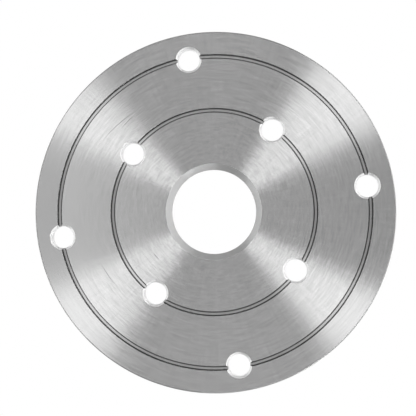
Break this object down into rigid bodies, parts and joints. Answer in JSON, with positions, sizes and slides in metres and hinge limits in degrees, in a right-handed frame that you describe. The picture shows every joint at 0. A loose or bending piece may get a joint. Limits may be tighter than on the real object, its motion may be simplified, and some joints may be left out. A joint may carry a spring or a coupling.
{
  "type": "brake disc rotor",
  "caption": "Flat plain brake disc of turned steel, with a chamfered centre bore, inner and outer rings of bolt holes and a shallow turned groove beside each ring.",
  "frame": {"origin": "centre of the bore on the back face, which is the lowest point", "axes": "+Z along the disc's axis, out of the grooved front face; two of the outer bolt holes lie on +X and -X, two on +Y and -Y"},
  "size_m": [0.18, 0.18, 0.006],
  "materials": {
    "turned_steel": "bare steel, finely turned on the lathe in circles about the axis, satin"
  },
  "bodies": {
    "root": {"brake_disc": "turned_steel"}
  },
  "joints": []
}
